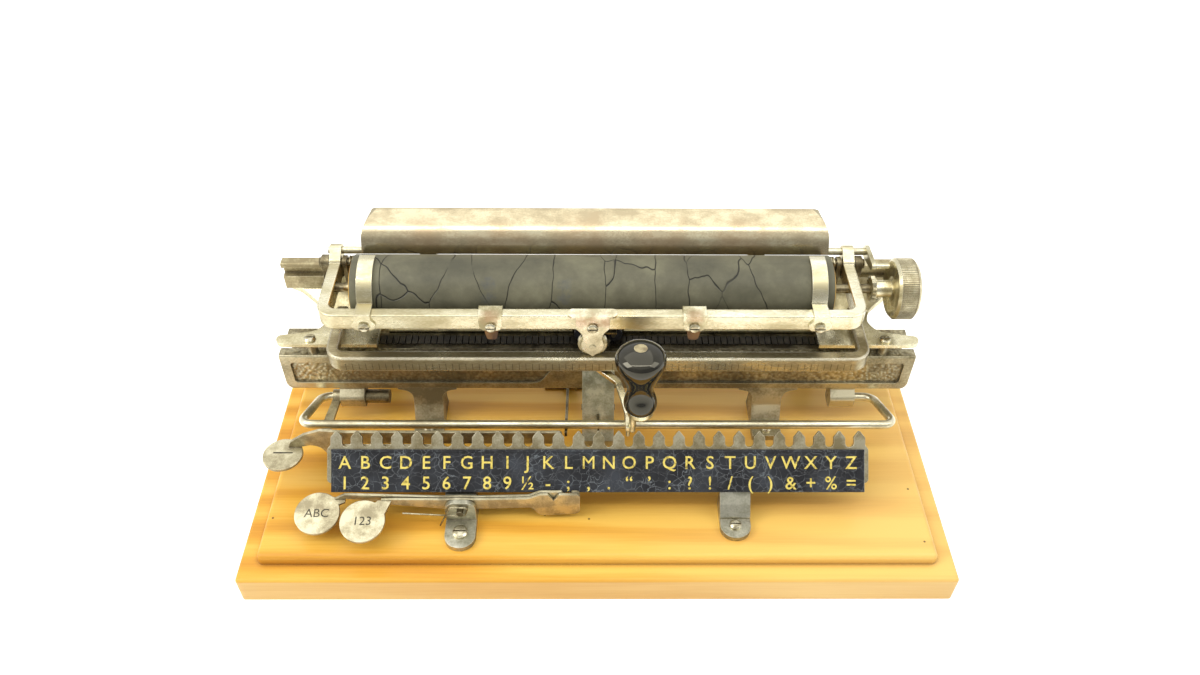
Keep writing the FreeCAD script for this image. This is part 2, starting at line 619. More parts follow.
def centre_post():
    post = plate_x([(RAIL_FRONT, RAIL_TOP - 4.3), (RAIL_FRONT - 3, RAIL_TOP - 4.3, 2), (5, 56, 8), (-1.5, 40, 10),
                    (-4, 30, 6), (-7, DECK + 4, 1), (-7, DECK), (RAIL_FRONT + 4, DECK), (RAIL_FRONT + 4, 30),
                    (RAIL_FRONT, RAIL_BOTTOM)], -POST_HALF, POST_HALF)
    way = PRINT_LEVER_HALF + LEVER_PLAY
    y, z = PRINT_PIVOT_Y, PRINT_PIVOT_Z
    inside = plate_x([(y - 3.6, z - 6.6), (RAIL_FRONT + 5, z - 6.6), (RAIL_FRONT + 5, FLOOR_UNDER), (RAIL_FRONT + 2, FLOOR_UNDER),
                      (y + 1.5, z + 4.2), (y - 1.2, z + 4.0, 1), (y - 3.6, z + 0.5)], -way, way)
    return post.cut([inside, box(-way, way, -8, y - 3, z - 6.6, z - 0.5),
                     rod_x(PRINT_PIVOT_Y, PRINT_PIVOT_Z, PRINT_PIN_RADIUS + SLIP, -POST_HALF - 1, POST_HALF + 1)])


def frame_pivot_pins():
    y, z = BAIL_PIVOT_Y, BAIL_PIVOT_Z
    stop_stud = union(rod_x(y, z, SPACE_PIN_RADIUS, -BAIL_END_X + 1.9, -LUG_INNER_X + 1.0),
                      rod_x(y, z, SPACE_HUB, -LUG_INNER_X, -LUG_INNER_X + 12.0))
    print_pin = rod_x(PRINT_PIVOT_Y, PRINT_PIVOT_Z, PRINT_PIN_RADIUS, -POST_HALF - 0.4, POST_HALF + 0.4)
    feed_pin = rod_x(FEED_PIVOT_Y, FEED_PIVOT_Z, PRINT_PIN_RADIUS, FEED_X - 3.2, FEED_X + 3.2)
    shift_pin = rod_y(-INDEX_FOOT_X, SHIFT_PIN_Z, SHIFT_PIN_RADIUS, FIGS_Y - 5.2, -44.0)
    return Part.makeCompound([stop_stud, print_pin, feed_pin, shift_pin])


# ================================================================ index plate, comb and their feet
def slope_shelf():
    """Side view of the sloping shelf that a foot holds under the comb, down to the board."""
    top_low = on_slope(1.4, SLOPE_TOP)
    top_high = on_slope(14.4, SLOPE_TOP)
    under_high = on_slope(14.4, SLOPE_TOP - SLOPE_PLATE)
    under_low = on_slope(0.6, SLOPE_TOP - SLOPE_PLATE)
    return [top_low, top_high, under_high, under_low, (under_low[0], DECK)]


def foot_pad(x, front):
    half = FOOT_WIDTH / 2
    back = slope_shelf()[4][0]
    return plate_z([(x - half, back), (x - half, front, half - 0.2), (x + half, front, half - 0.2), (x + half, back)],
                   DECK, DECK + FOOT_PAD)


def index_screw_seat(x):
    y, z = on_slope(INDEX_SCREW_S, SLOPE_TOP - SLOPE_PLATE)
    return vec(x, y, z)


def cut_index_screws(shape):
    down = vec(0, SLOPE, -SLOPE)
    depth = SLOPE_PLATE - SLOPE_TOP + INDEX_THICKNESS - 0.9
    return shape.cut([drill(index_screw_seat(x), down, 1.2, depth - GAP) for x in (-INDEX_FOOT_X, INDEX_FOOT_X)])


def index_foot_left():
    x = -INDEX_FOOT_X
    half = FOOT_WIDTH / 2
    back = slope_shelf()[4][0]
    ear_z = SHIFT_PIN_Z + 5.0
    front_ear = plate_y([(x - half, DECK + 1), (x + half, DECK + 1), (x + half, ear_z, 5), (x - half, ear_z, 5)],
                        FIGS_Y - RUN - EAR_THICKNESS, FIGS_Y - RUN)
    block = box(x - half, x + half, FIGS_Y - RUN - EAR_THICKNESS, back, DECK + 1, SHIFT_PIN_Z - 5.5)
    rear_y = CAPS_Y + LEVER_THICKNESS + RUN
    rear_ear = plate_x([(rear_y, DECK + 1), (rear_y, on_slope(1.4, SLOPE_TOP)[1])] + slope_shelf(), x - half, x + half)
    pin_way = rod_y(x, SHIFT_PIN_Z, SHIFT_PIN_RADIUS + SLIP, FIGS_Y - 6, back + 1)
    foot = union(foot_pad(x, FOOT_FRONT_LEFT), front_ear, block, rear_ear).cut(pin_way)
    return cut_index_screws(cut_base_screws(foot))


def index_foot_right():
    x = INDEX_FOOT_X
    half = FOOT_WIDTH / 2
    web = plate_x([(-54.0, DECK + 1), (-54.0, DECK + 4.2, 1), (-50.0, DECK + 9, 4)] + slope_shelf(), x - half, x + half)
    return cut_index_screws(cut_base_screws(union(foot_pad(x, FOOT_FRONT_RIGHT), web)))


def index_plate():
    lip = INDEX_WIDTH - 1.2
    plate = slope_bar([(0, 0), (0, INDEX_THICKNESS, 0.5), (lip, INDEX_THICKNESS), (lip, INDEX_THICKNESS + 0.6),
                       (INDEX_WIDTH, INDEX_THICKNESS + 0.6), (INDEX_WIDTH, 0)], -INDEX_HALF, INDEX_HALF)
    return cut_index_screws(plate)


def index_screws():
    down = vec(0, SLOPE, -SLOPE)
    made = []
    for x in (-INDEX_FOOT_X, INDEX_FOOT_X):
        seat = index_screw_seat(x)
        made.append(screw(seat, down, 2.4, 1.5, 1.2, SLOPE_PLATE - SLOPE_TOP + INDEX_THICKNESS - 0.9 - GAP))
        spacer = seat - down * SLOPE_PLATE
        made.append(Part.makeCylinder(2.2, -SLOPE_TOP, spacer, down * -1).cut(drill(spacer - down * 3, down, 1.2, 6)))
    return Part.makeCompound(made)


def index_comb():
    corners = [(-COMB_HALF, COMB_LOW, 2), (-21, COMB_LOW), (-20.4, -1.5, 1), (-15.6, -1.5, 1), (-15, COMB_LOW),
               (COMB_HALF, COMB_LOW, 2), (COMB_HALF, COMB_SLOT - 1, 2)]
    half = (PITCH - SLOT_WIDTH) / 2
    for j in range(COLUMNS, -1, -1):
        x = (j - COLUMNS / 2) * PITCH
        if j == COLUMNS:
            corners.append((x + half, COMB_SLOT + 1))
        else:
            corners.append((x + half, COMB_SLOT, SLOT_WIDTH / 2 - 0.05))
        corners.append((x + half, COMB_SHOULDER, 1))
        corners.append((x, COMB_TIP, 0.6))
        corners.append((x - half, COMB_SHOULDER, 1))
        if j == 0:
            corners.append((x - half, COMB_SLOT + 1))
        else:
            corners.append((x - half, COMB_SLOT, SLOT_WIDTH / 2 - 0.05))
    corners.append((-COMB_HALF, COMB_SLOT - 1, 2))
    comb = slope_plate(corners, COMB_BACK, -COMB_GAP)
    ways = []
    for x in (-INDEX_FOOT_X, INDEX_FOOT_X):
        across = 2.2 + GAP
        along = across + TYPE_PITCH
        s = INDEX_SCREW_S
        ways.append(slope_plate([(x - along, s - across, across), (x + along, s - across, across),
                                 (x + along, s + across, across), (x - along, s + across, across)],
                                COMB_BACK - 1, 1))
    return comb.cut(ways)


def shift_bar():
    return slope_plate([(SHIFT_END_X, 12, 2), (SHIFT_END_X + 46, 12, 2), (SHIFT_END_X + 46, 22, 2), (SHIFT_END_X, 22, 2)], SHIFT_FRONT - SHIFT_THICKNESS, SHIFT_FRONT)


def key_disc(x, y, z, radius, tilt, neck):
    """A round key top with its neck, tilted toward the typist; neck corners are (x, y) from the centre."""
    top = rod_z(0, 0, radius, -KEY_THICKNESS / 2, KEY_THICKNESS / 2)
    top = soften(top, 0.35, lambda b: b.ZMin > 0.01)
    key = union(top, plate_z(neck, -KEY_THICKNESS / 2, KEY_THICKNESS / 2))
    key.Placement = FreeCAD.Placement(vec(x, y, z), FreeCAD.Rotation(X_AXIS, tilt))
    return key


def shift_lever(y, left, notch_x):
    """A key lever on the shift pin, with a notched plate under the comb."""
    z = SHIFT_PIN_Z
    x = -INDEX_FOOT_X
    notch = [(notch_x - 2.6, z + 8.0), (notch_x, z + 3.6), (notch_x + 2.6, z + 8.0)]
    plate = plate_y(left + [(x - 9, z - 2.6, 3), (x, z - 4.4, 4), (x + 9, z - 2.6, 3), (-32, z - 1.6, 3),
                            (-27.6, z - 8.0, 3), (-8.8, z - 6.5, 3), (-8.8, z + 8.0, 2)] + notch[::-1] +
                    [(-27.6, z + 8.0, 1.5), (-33, z + 5.0, 3), (x + 8, z + 4.2, 3), (x, z + 4.6, 4), (x - 8, z + 4.2, 3)],
                    y, y + LEVER_THICKNESS)
    return plate.cut(rod_y(x, z, SHIFT_PIN_RADIUS + SLIP, y - 1, y + LEVER_THICKNESS + 1))


def caps_key():
    z = SHIFT_PIN_Z
    lever = shift_lever(CAPS_Y, [(CAPS_X + 12.5, z + 6.0, 2), (CAPS_X + 7.5, z + 2.6, 2), (CAPS_X + 7.5, z + 0.9), (CAPS_X + 12.5, z + 3.0, 2)], -14.8)
    neck = [(4, 2), (12.2, 5.6), (12.2, 7.6), (3, 8.6)]
    return union(lever, key_disc(CAPS_X, CAPS_DISC_Y, DECK + CAPS_RISE, KEY_RADIUS, KEY_TILT, neck))


def figs_key():
    z = SHIFT_PIN_Z
    lever = shift_lever(FIGS_Y, [(FIGS_X + 12.5, z + 4.4), (FIGS_X + 7.5, z + 4.0), (FIGS_X + 7.5, z + 1.0), (FIGS_X + 12.5, z + 0.6)], -21.2)
    neck = [(0, 4), (9, 1.5), (12.4, 10.2), (6, 10.2)]
    return union(lever, key_disc(FIGS_X, FIGS_DISC_Y, DECK + FIGS_RISE, KEY_RADIUS, KEY_TILT, neck))


def shift_spring():
    front = FIGS_Y - RUN - EAR_THICKNESS
    return bent_wire([vec(-75, front - 2.4, DECK + 2.0), vec(-69.5, front - 1.0, SHIFT_PIN_Z + 3.2),
                      vec(-61.0, front - 1.0, SHIFT_PIN_Z + 3.0), vec(-63.0, front - 1.0, SHIFT_PIN_Z - 3.6),
                      vec(-92, front - 1.0, SHIFT_PIN_Z - 1.2)], 1.6, 0.4)


# ================================================================ bail, space key and printing levers
def bail():
    points = [vec(-BAIL_END_X, BAIL_PIVOT_Y, BAIL_PIVOT_Z), vec(-BAIL_REAR_HALF, BAIL_PIVOT_Y, BAIL_PIVOT_Z),
              vec(-BAIL_HALF, BAIL_Y, BAIL_Z), vec(BAIL_HALF, BAIL_Y, BAIL_Z),
              vec(BAIL_REAR_HALF, BAIL_PIVOT_Y, BAIL_PIVOT_Z), vec(BAIL_END_X, BAIL_PIVOT_Y, BAIL_PIVOT_Z)]
    return bent_wire(points, BAIL_BEND, BAIL_RADIUS)


def space_key():
    y, z = BAIL_PIVOT_Y, BAIL_PIVOT_Z
    disc_z = DECK + SPACE_RISE
    x = SPACE_ARM_X
    hub = rod_x(y, z, SPACE_HUB, x - 3.8, x)
    arm = plate_z([(x - 3.8, y), (x, y), (x - 1.1, y - 16), (x - 1.6, y - 24, 4), (x + 9.4, -25), (x + 0.9, -25), (x - 6.6, y - 26, 4),
                   (x - 5.5, y - 14)], z - 1.4, z + 0.2)
    sheet = plate_y([(-150, disc_z - 2.2), (-146, 42.9, 6), (-135, 45.6, 6), (-131, z - 1.4, 2), (-122, z - 1.4), (-119, 46, 2),
                     (SPACE_STRIP_END, 46, 2), (SPACE_STRIP_END, 54, 2), (-120, 54, 3), (-133, 55.2, 3), (-141, 52.0, 5), (-148, 47.0, 5), (-150, disc_z)],
                    -25, -23.5)
    top = rod_z(SPACE_X, SPACE_Y, SPACE_RADIUS, disc_z - KEY_THICKNESS / 2, disc_z + KEY_THICKNESS / 2)
    top = soften(top, 0.35, lambda b: b.ZMin > disc_z + 0.01)
    return union(hub, arm, sheet, top).cut(rod_x(y, z, BAIL_RADIUS + SLIP, x - 8, x + 1))


def impression_lever():
    y, z = PRINT_PIVOT_Y, PRINT_PIVOT_Z
    blade = plate_x([(y - 20.5, z + 4.9, 1), (y - 20.5, z + 1.9, 1), (y - 6.5, z - 4.0, 3), (y, z - 4.3, 4), (y + 9, z - 3.5, 3),
                     (y + 24, z - 1.4, 1), (y + 24, z + 1.9, 1), (y + 9, z + 2.5, 4), (y + 1, z + 1.8), (y - 2, z - 0.5, 1),
                     (y - 5.5, z - 1.0, 2), (y - 15.5, z + 4.9, 2)], -PRINT_LEVER_HALF, PRINT_LEVER_HALF)
    lever = union(blade, rod_x(y, z, LEVER_HUB, -PRINT_LEVER_HALF, PRINT_LEVER_HALF))
    return lever.cut(rod_x(y, z, PRINT_PIN_RADIUS + SLIP, -5, 5))


def plunger():
    return rod_z(0, PLUNGER_Y, PLUNGER_RADIUS, PRINT_PIVOT_Z + 2.6, FLOOR_TOP)


def feed_lever():
    y, z = FEED_PIVOT_Y, FEED_PIVOT_Z
    lever = plate_x([(y - 54, z + 18.4, 1), (y - 54, z + 15.2, 1), (y - 40, z + 9.5, 6), (y - 9, z - 2.0, 6), (y, z - 2.9, 4),
                     (y + 12.5, z - 1.5, 1), (y + 12.5, z + 2.5, 1), (y + 5, z + 2.5, 3), (y, z + 3.2, 4), (y - 9, z + 3.2, 6),
                     (y - 38, z + 13.5, 6), (y - 48, z + 18.4, 1)], FEED_X - FEED_HALF, FEED_X + FEED_HALF)
    pin = rod_x(FEED_SPRING_Y, z, 0.8, FEED_X, FEED_SPRING_X + 1.5)
    return union(lever, pin).cut(rod_x(y, z, PRINT_PIN_RADIUS + SLIP, FEED_X - 5, FEED_X + 5))


def feed_bracket():
    y, z = FEED_PIVOT_Y, FEED_PIVOT_Z
    made = box(FEED_X - 12.5, FEED_X + 12.5, y - 3.5, y + 5.0, DECK, DECK + 2.0)
    for x in (FEED_X - FEED_HALF - RUN - FEED_EAR, FEED_X + FEED_HALF + RUN):
        made = made.fuse(plate_x([(y - 3.5, DECK + 1), (y + 5.0, DECK + 1), (y + 3.5, z + 3.5, 3), (y - 3.5, z + 3.5, 3)],
                                 x, x + FEED_EAR))
    made = made.removeSplitter().cut(rod_x(y, z, PRINT_PIN_RADIUS + SLIP, FEED_X - 6, FEED_X + 6))
    return cut_base_screws(made)


def feed_spring():
    x = FEED_SPRING_X
    y = FEED_SPRING_Y
    z = FEED_PIVOT_Z - 2.4
    return bent_wire([vec(x, y - 2.2, FLOOR_UNDER), vec(x, y - 2.2, z), vec(x, y + 2.2, z), vec(x, y + 2.2, z + 2.6)], 1.4, 0.6)


def feed_pawl_rod():
    return rod_z(FEED_X, FEED_ROD_Y, FEED_ROD_RADIUS, FEED_PIVOT_Z + 2.5 + GAP, GROOVE_BOTTOM - 1.4)


# ================================================================ type rack and selector
def type_rack():
    half = COLUMNS * PITCH / 2 + RACK_END
    rail_z = FLOOR_TOP + 0.2
    type_front = PLUNGER_Y - TYPE_DEPTH / 2 - 0.05
    type_back = PLUNGER_Y + TYPE_DEPTH / 2 + 0.05
    shelf_top = TYPE_FACE - TYPE_HEIGHT
    pieces = [box(-half, half, RACK_FRONT, type_front, rail_z, RACK_TOP),
              box(-half, half, type_back, RACK_BACK, rail_z, RACK_TOP),
              box(-half, half, type_front - 1, type_front + 0.7, shelf_top - 1.5, shelf_top),
              box(-half, half, type_back - 0.7, type_back + 1, shelf_top - 1.5, shelf_top)]
    for x in (-half, half - RACK_TIE):
        pieces.append(box(x, x + RACK_TIE, type_front - 1, type_back + 1, rail_z, RACK_TOP))
    rack = union(*pieces)
    rack.translate(vec(REST_X, 0, 0))
    for x in (ARM_X - ARM_HALF - 0.3 - EAR_PLATE, ARM_X + ARM_HALF + 0.3):
        rack = rack.fuse(plate_x([(RACK_FRONT, RACK_TOP - 1), (type_front, RACK_TOP - 1), (type_front, HINGE_Z + 2.0, 1.8),
                                  (RACK_FRONT, HINGE_Z + 2.0, 1.8)], x, x + EAR_PLATE))
    return rack.removeSplitter().cut(rod_x(HINGE_Y, HINGE_Z, HINGE_PIN_RADIUS + SLIP, ARM_X - 6, ARM_X + 6))


def type_slugs():
    shelf_top = TYPE_FACE - TYPE_HEIGHT
    slugs = []
    count = COLUMNS * TYPES_PER_COLUMN
    for i in range(count):
        x = REST_X + (i - (count - 1) / 2) * TYPE_PITCH
        slugs.append(box(x - TYPE_WIDTH / 2, x + TYPE_WIDTH / 2, PLUNGER_Y - TYPE_DEPTH / 2, PLUNGER_Y + TYPE_DEPTH / 2,
                         shelf_top, TYPE_FACE))
    return Part.makeCompound(slugs)


def rack_hinge_pin():
    half = ARM_HALF + 0.3 + EAR_PLATE + 0.5
    return rod_x(HINGE_Y, HINGE_Z, HINGE_PIN_RADIUS, ARM_X - half, ARM_X + half)


def handle_foot():
    return vec(REST_X + HANDLE_SHIFT, HANDLE_Y, STEM_TIP_Z)


def handle_axis():
    return vec(HANDLE_LEAN_X, LEAN_Y, LEAN_RISE).normalize()


def selector_arm():
    tip_x = STYLUS_X - 0.2
    line = [(ARM_X, HINGE_Y), (ARM_X, 2.5), (ARM_X + 8.6, -6.3), (tip_x - 1.0, -16.8), (tip_x, -25), (tip_x, HANDLE_Y - 1.3)]
    plan = plate_z(ribbon(line, [ARM_HALF, ARM_HALF - 1.3, ARM_BEND_HALF, 1.6, ARM_TIP_HALF, ARM_TIP_HALF]), 50, 90)
    side = plate_x(ribbon([(HINGE_Y, HINGE_Z), (10, HINGE_Z - 0.1), (2, HINGE_Z - 1.6), (-8, HINGE_Z - 2.7),
                           (-24, HINGE_Z - 5.1), (-37, HINGE_Z - 5.6)], [ARM_THICKNESS / 2] * 6), -40, 40)
    blade = plate_x([(-29, HINGE_Z - 6.0), (-15, HINGE_Z - 6.0), (-11, BAIL_Z + BAIL_RADIUS + 0.8),
                     (-19, BAIL_Z + BAIL_RADIUS + 0.8), (-24.5, 60, 4)], PRESSER_X, PRESSER_X + PRESSER_THICKNESS)
    hub = rod_x(HINGE_Y, HINGE_Z, HUB_RADIUS, ARM_X - ARM_HALF, ARM_X + ARM_HALF)
    arm = union(plan.common(side), blade, hub)
    stem_way = rod_z(STEM_X, HANDLE_Y, STEM_RADIUS + SLIP, STEM_TIP_Z, 80)
    return arm.cut([rod_x(HINGE_Y, HINGE_Z, HINGE_PIN_RADIUS + SLIP, ARM_X - 6, ARM_X + 6), stem_way])


def selector_ferrule():
    """The plated cup that holds the handle, the stem under its left side, and the stylus beside the stem."""
    cup = lathe([(0, CUP_LOW), (4.4, CUP_LOW), (CUP_RADIUS, CUP_LOW + 1.4, 1.2), (CUP_RADIUS, CUP_HIGH), (3.0, CUP_HIGH),
                 (3.0, CUP_HIGH + 5.4), (0, CUP_HIGH + 5.4)], handle_foot(), handle_axis())
    low = STEM_TIP_Z + 3.2
    stem = lathe([(0, 0), (STEM_RADIUS - 0.4, 0), (STEM_RADIUS, 0.8), (STEM_RADIUS, CUP_LOW - 2.2), (0, CUP_LOW - 2.2)],
                 vec(STEM_X, HANDLE_Y, low), Z_AXIS)
    stylus = rod_z(STYLUS_X, HANDLE_Y, STYLUS_RADIUS, STEM_TIP_Z, low + 1.0)
    return union(cup, stem, stylus)


def selector_knob():
    """The turned black handle, a ball over a bulb."""
    profile = [(3.0 + SLIP, CUP_HIGH), (6.4, CUP_HIGH, 0.5), (8.1, 20.9, 5.0), (5.9, 26.6, 4.0), (6.1, 32.2, 5.0),
               (9.6, 39.2, 6.0), (BALL_RADIUS + 0.6, 45.6, 4.5), (8.9, 51.0, 4.5), (0, 51.7), (0, CUP_HIGH + 5.6),
               (3.0 + SLIP, CUP_HIGH + 5.6)]
    return lathe(profile, handle_foot(), handle_axis())


# ================================================================ ink rollers
def ink_bracket():
    back = RACK_BACK
    front = back - 1.4
    axis_z = TYPE_FACE + INK_RISE
    low = BACK_WALL_TOP + 2.0
    pieces = [box(-13, 13, front, back, low, axis_z + 6.4), box(-13, 13, front, BACK_WALL_Y + 3.0, low, low + 1.6),
              box(-9, 9, 18, back, axis_z + 5.4, axis_z + 6.4)]
    for x in (-INK_X, INK_X):
        pieces.append(rod_y(x, axis_z, INK_PIN_RADIUS, front - INK_LENGTH - 2.0, front + 0.5))
    return union(*pieces).cut(box(-2, 2, PLUNGER_Y - 3.2, PLUNGER_Y + 3.0, axis_z + 4, axis_z + 8))


def ink_roller(x):
    axis_z = TYPE_FACE + INK_RISE
    back = RACK_BACK - 1.4 - 1.2
    roller = rod_y(x, axis_z, INK_RADIUS, back - INK_LENGTH, back)
    return roller.cut(rod_y(x, axis_z, INK_PIN_RADIUS + SLIP, back - INK_LENGTH - 1, back + 1))


# ================================================================ carriage
def both_ends(make):
    """One solid from each side; make gets the inner and outer distance signs."""
    return Part.makeCompound([make(-1), make(1)])


def span(side, near, far):
    """X range between two distances from the carriage centre on one side."""
    return sorted((CARRIAGE_X + side * near, CARRIAGE_X + side * far))


def carriage_slide_bar():
    low = GROOVE_BOTTOM + RUN
    high = GROOVE_TOP - RUN
    near = FRAME_HALF + 0.5
    half = near + LUG_THICKNESS
    y0 = REAR_FRONT + GAP
    y1 = REAR_FRONT + GROOVE_DEPTH - RUN
    corners = [(CARRIAGE_X - half, high), (CARRIAGE_X - half, low)]
    count = int(2 * (half - 4) / RACK_TOOTH)
    start = CARRIAGE_X - count * RACK_TOOTH / 2
    for i in range(count):
        corners.append((start + i * RACK_TOOTH, low))
        corners.append((start + i * RACK_TOOTH + 0.4, low + RACK_TOOTH_DEPTH))
    corners += [(start + count * RACK_TOOTH, low), (CARRIAGE_X + half, low), (CARRIAGE_X + half, high)]
    pieces = [plate_y(corners, y0, y1)]
    for side in (-1, 1):
        x0, x1 = span(side, near, half)
        pieces.append(plate_x([(PIVOT_Y - PIVOT_EYE, PIVOT_Z), (PIVOT_Y + PIVOT_EYE, PIVOT_Z), (PIVOT_Y + PIVOT_EYE, high),
                               (y1, high), (y1, low), (PIVOT_Y - 1, low, 3), (PIVOT_Y - PIVOT_EYE, low + 4, 3)], x0, x1))
        pieces.append(rod_x(PIVOT_Y, PIVOT_Z, PIVOT_EYE, x0, x1))
    return union(*pieces).cut(rod_x(PIVOT_Y, PIVOT_Z, PIVOT_RADIUS + SLIP, -200, 200))


def carriage_pivot_pins():
    def pin(side):
        pieces = []
        for near, far, radius in ((-14.5, -13.7, 3.0), (-13.7, 4.2, PIVOT_RADIUS), (4.2, 5.4, 2.4)):
            x0, x1 = span(side, FRAME_HALF + near, FRAME_HALF + far)
            pieces.append(rod_x(PIVOT_Y, PIVOT_Z, radius, x0, x1))
        return union(*pieces)
    return both_ends(pin)


def carriage_pivot_springs():
    def spring(side):
        x0, x1 = span(side, FRAME_HALF - 12.7, FRAME_HALF - 9.2)
        return coil(vec(x0, PIVOT_Y, PIVOT_Z), X_AXIS, 2.85, 0.5, 3, (x1 - x0) / 3)
    return both_ends(spring)


def carriage_frame():
    outer = FRAME_HALF
    inner = FRAME_HALF - BAR_THICKNESS
    c = CARRIAGE_X
    inside = FRAME_Y + BAR_THICKNESS
    back = PIVOT_Y - 3.0
    frame = plate_z([(c - outer, back), (c - outer, FRAME_Y, BAR_BEND), (c + outer, FRAME_Y, BAR_BEND), (c + outer, back),
                     (c + inner, back), (c + inner, inside, BAR_BEND - BAR_THICKNESS),
                     (c - inner, inside, BAR_BEND - BAR_THICKNESS), (c - inner, back)], FRAME_Z, FRAME_TOP)
    frame = soften(frame, BAR_EDGE, lambda b: b.ZLength < 0.01 and b.YMin < back - 1)
    pieces = [frame]
    for side in (-1, 1):
        x0, x1 = span(side, inner, outer)
        pieces.append(link((PIVOT_Y, PIVOT_Z, 4.2), (TIE_ROD_Y, TIE_ROD_Z, 3.0), x0, x1))
        pieces.append(plate_x([(back - 1, FRAME_Z), (back, FRAME_Z), (PIVOT_Y + 0.5, PIVOT_Z - 3.8), (PIVOT_Y, PIVOT_Z),
                               (back - 1, FRAME_TOP)], x0, x1))
    frame = union(*pieces).cut([rod_x(PIVOT_Y, PIVOT_Z, PIVOT_RADIUS + SLIP, -200, 200),
                                rod_x(TIE_ROD_Y, TIE_ROD_Z, TIE_ROD_RADIUS + SLIP, -200, 200),
                                rod_x(PLATEN_Y, PLATEN_Z, AXLE_RADIUS + SLIP, -200, 200)])
    return cut_bar_screws(frame)


def rear_rod():
    left = rod_x(TIE_ROD_Y, TIE_ROD_Z, TIE_ROD_RADIUS, CARRIAGE_X - FRAME_HALF - 1.2, CARRIAGE_X + FRAME_HALF + 8.6)
    return left


def bar_screw_list():
    """Seats on the front of the carriage bar, with how far each plate stands off it."""
    found = [(CARRIAGE_X + x, CLIP_PLATE) for x in (-GUIDE_X, -CLIP_X, CLIP_X, GUIDE_X)]
    return found + [(CARRIAGE_X, POINTER_PLATE)]


def bar_screws():
    return Part.makeCompound([screw(vec(x, FRAME_Y - plate, BAR_SCREW_Z), Y_AXIS * -1, 2.6, 1.5, 1.3, plate + 3.6)
                              for x, plate in bar_screw_list()])


def cut_bar_screws(shape):
    return shape.cut([drill(vec(x, FRAME_Y - plate, BAR_SCREW_Z), Y_AXIS * -1, 1.3, plate + 3.6)
                      for x, plate in bar_screw_list()])


def bar_plate(x, half_top, half_low):
    """A small plate on the front of the carriage bar, folded over its top."""
    low = FRAME_Z + 0.3
    front = plate_y([(x - half_top, FRAME_TOP + CLIP_PLATE), (x - half_top, FRAME_TOP - 2), (x - half_low, BAR_SCREW_Z + 1),
                     (x - half_low, low, 3), (x + half_low, low, 3), (x + half_low, BAR_SCREW_Z + 1),
                     (x + half_top, FRAME_TOP - 2), (x + half_top, FRAME_TOP + CLIP_PLATE)],
                    FRAME_Y - CLIP_PLATE, FRAME_Y)
    fold = box(x - half_top, x + half_top, FRAME_Y - CLIP_PLATE, FRAME_Y + BAR_THICKNESS + 0.6, FRAME_TOP, FRAME_TOP + CLIP_PLATE)
    return union(front, fold)


def bar_clips():
    return cut_bar_screws(Part.makeCompound([bar_plate(CARRIAGE_X + x, CLIP_WIDTH / 2, CLIP_WIDTH / 2 - 0.2)
                                             for x in (-CLIP_X, CLIP_X)]))


def clip_pads():
    pads = []
    for x in (CARRIAGE_X - CLIP_X, CARRIAGE_X + CLIP_X):
        pads.append(plate_y([(x - 3.4, FRAME_Z), (x - 2.2, FRAME_Z - 6.5, 1.5), (x + 2.2, FRAME_Z - 6.5, 1.5),
                             (x + 3.4, FRAME_Z)], FRAME_Y + 0.3, FRAME_Y + 1.5))
    return Part.makeCompound(pads)


def paper_guide(x):
    """A sprung strip that holds the paper against the front of the platen."""
    inner = PLATEN_RADIUS + GUIDE_GAP
    outer = inner + 1.0
    half = GUIDE_WIDTH / 2
    ring = rod_x(PLATEN_Y, PLATEN_Z, outer, x - half, x + half).cut(rod_x(PLATEN_Y, PLATEN_Z, inner, x - half - 1, x + half + 1))
    start = math.radians(163.0)
    end = math.radians(78.0)
    reach = 40.0
    wedge = plate_x([(PLATEN_Y, PLATEN_Z), (PLATEN_Y + reach * math.cos(start), PLATEN_Z + reach * math.sin(start)),
                     (PLATEN_Y - reach, PLATEN_Z + reach), (PLATEN_Y + reach * math.cos(end), PLATEN_Z + reach * math.sin(end))],
                    x - half, x + half)
    fold = box(x - half, x + half, FRAME_Y - CLIP_PLATE, PLATEN_Y - inner + 0.35, FRAME_TOP, FRAME_TOP + CLIP_PLATE)
    return cut_bar_screws(union(bar_plate(x, half, CLIP_WIDTH / 2), ring.common(wedge), fold))


def pointer_bracket():
    x = CARRIAGE_X
    y0 = FRAME_Y - POINTER_PLATE
    tip = FRAME_Z - POINTER_DROP
    plate = plate_y([(x - 7.8, FRAME_TOP + 1.2), (x - 7.8, FRAME_Z + 2, 2), (x - 5.2, FRAME_Z - 1, 2), (x - 4.2, FRAME_Z - 4.5, 3),
                     (x - 5.4, WHEEL_Z + 1, 2), (x - 4.6, WHEEL_Z - 2.4, 2), (x, tip, 0.4), (x + 4.6, WHEEL_Z - 2.4, 2),
                     (x + 5.4, WHEEL_Z + 1, 2), (x + 4.2, FRAME_Z - 4.5, 3), (x + 5.2, FRAME_Z - 1, 2), (x + 7.8, FRAME_Z + 2, 2),
                     (x + 7.8, FRAME_TOP + 1.2)], y0, FRAME_Y)
    wings = plate_z([(x - 11.5, y0, 2.5), (x + 11.5, y0, 2.5), (x + 11.5, FRAME_Y + 4, 2.5), (x - 11.5, FRAME_Y + 4, 2.5)],
                    FRAME_TOP, FRAME_TOP + 1.2)
    pin = union(rod_y(x, WHEEL_Z, WHEEL_PIN, y0 - 0.6, WHEEL_Y + WHEEL_WIDTH + 0.3),
                rod_y(x, WHEEL_Z, WHEEL_PIN + 0.8, WHEEL_Y + WHEEL_WIDTH + 0.3, WHEEL_Y + WHEEL_WIDTH + 1.1))
    return cut_bar_screws(union(plate, wings, pin))


